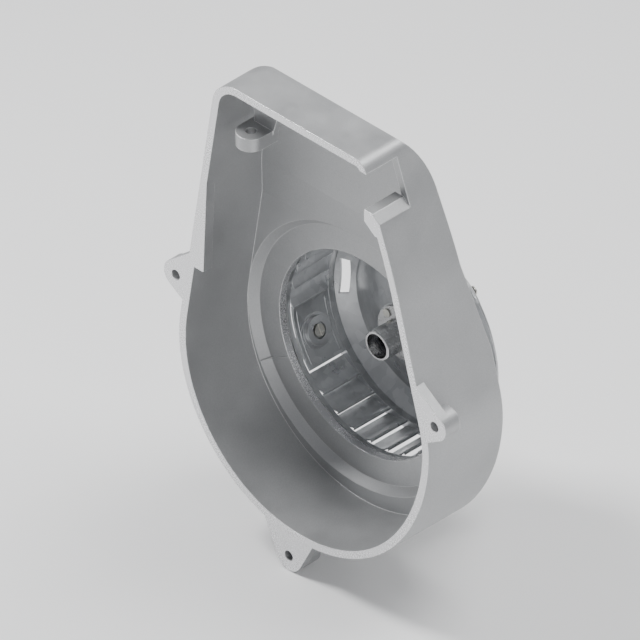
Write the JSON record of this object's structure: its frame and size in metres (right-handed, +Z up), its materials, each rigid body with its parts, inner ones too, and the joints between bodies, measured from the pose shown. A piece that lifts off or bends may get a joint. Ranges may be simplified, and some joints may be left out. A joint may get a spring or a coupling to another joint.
{
  "type": "blower housing with wheel and motor",
  "caption": "Cast blower housing with an open front, a round inlet throat, fixing ears and a bladed wheel turned by a motor on a rear bracket.",
  "frame": {"origin": "on the wheel's axis, at the back face of the housing's floor", "axes": "+X right and +Z up as seen from the open front, +Y back along the wheel's axis"},
  "size_m": [0.2275, 0.1267, 0.3149],
  "materials": {
    "cast_housing": "fine as-cast texture, satin",
    "wheel_sheet": "galvanised sheet, satin",
    "blade_sheet": "galvanised sheet, satin",
    "bracket_steel": "zinc-plated sheet",
    "zinc_screws": "zinc-plated",
    "black_rubber": "matte",
    "motor_paint": "semi-gloss stove enamel",
    "end_cap_zinc": "die-cast, satin",
    "core_steel": "stacked laminations",
    "bronze_bush": "sintered bronze",
    "terminal_plastic": "moulded",
    "terminal_brass": "tinned brass",
    "ground_steel": "ground",
    "washer_plastic": "laminated fibre",
    "spring_steel": "oiled",
    "hub_steel": "turned, zinc-plated",
    "black_screw": "black oxide",
    "copper_winding": "varnished copper wire"
  },
  "bodies": {
    "housing": {"bracket_screws": "zinc_screws", "front_bearing": "bronze_bush", "motor_bracket": "bracket_steel", "motor_can": "motor_paint", "motor_end_cap": "end_cap_zinc", "motor_nuts": "zinc_screws", "motor_screws": "zinc_screws", "rear_bearing": "bronze_bush", "rubber_grommets": "black_rubber", "scroll_housing": "cast_housing", "stator_coil_1": "copper_winding", "stator_coil_2": "copper_winding", "stator_coil_3": "copper_winding", "stator_coil_4": "copper_winding", "stator_core": "core_steel", "terminal_blades": "terminal_brass", "terminal_block": "terminal_plastic"},
    "wheel": {"blade_01": "blade_sheet", "blade_02": "blade_sheet", "blade_03": "blade_sheet", "blade_04": "blade_sheet", "blade_05": "blade_sheet", "blade_06": "blade_sheet", "blade_07": "blade_sheet", "blade_08": "blade_sheet", "blade_09": "blade_sheet", "blade_10": "blade_sheet", "blade_11": "blade_sheet", "blade_12": "blade_sheet", "blade_13": "blade_sheet", "blade_14": "blade_sheet", "blade_15": "blade_sheet", "blade_16": "blade_sheet", "blade_17": "blade_sheet", "blade_18": "blade_sheet", "blade_19": "blade_sheet", "blade_20": "blade_sheet", "blade_21": "blade_sheet", "blade_22": "blade_sheet", "blade_23": "blade_sheet", "blade_24": "blade_sheet", "hub_rivets": "zinc_screws", "hub_set_screw": "black_screw", "motor_shaft": "ground_steel", "panel_nuts": "zinc_screws", "panel_screws": "zinc_screws", "rotor_core": "core_steel", "shaft_clip": "spring_steel", "thrust_washers": "washer_plastic", "wheel_back_plate": "wheel_sheet", "wheel_back_ring": "wheel_sheet", "wheel_front_ring": "wheel_sheet", "wheel_hub": "hub_steel", "wheel_panel_left": "wheel_sheet", "wheel_panel_right": "wheel_sheet"}
  },
  "joints": [
    {"name": "wheel_spin", "type": "hinge", "parent": "housing", "child": "wheel", "pos_m": [0, 0.02, 0], "axis": [0, 1, 0], "continuous": true}
  ]
}
